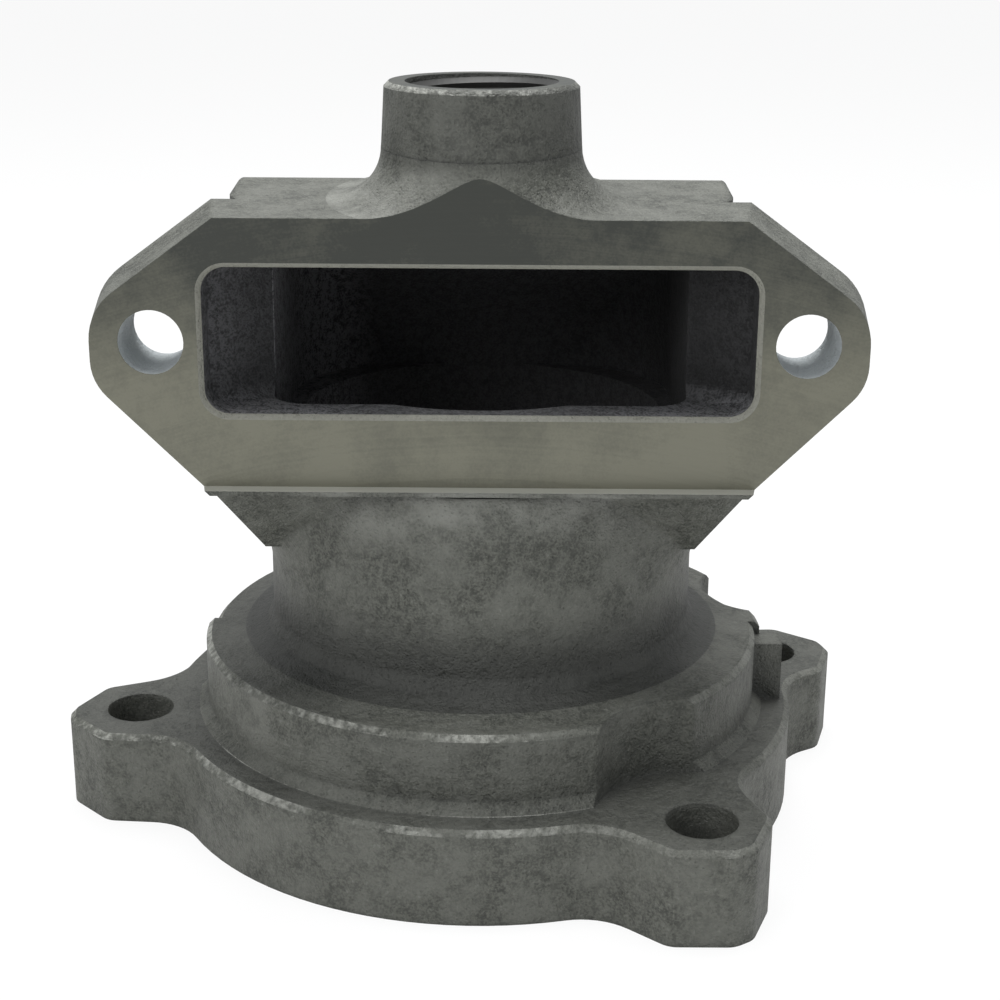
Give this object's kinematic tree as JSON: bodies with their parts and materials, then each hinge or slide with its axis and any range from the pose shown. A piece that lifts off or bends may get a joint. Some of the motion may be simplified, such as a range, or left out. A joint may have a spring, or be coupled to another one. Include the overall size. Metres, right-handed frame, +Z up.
{
  "type": "gear pump housing",
  "caption": "Rough cast iron housing: bored base flange with bolt ears, stepped round neck, elbow chamber with a milled slot port between bolt lugs, and a bored top boss.",
  "frame": {"origin": "centre of the gear bore in the base flange's underside", "axes": "+Z up along the neck from the base flange to the top boss, -Y out of the milled port face, +X to the right as the port face is looked at"},
  "size_m": [0.1445, 0.1369, 0.1316],
  "materials": {
    "cast_iron": "rough sand-cast skin with milled port face and boss rim"
  },
  "bodies": {
    "root": {"pump_housing": "cast_iron"}
  },
  "joints": []
}
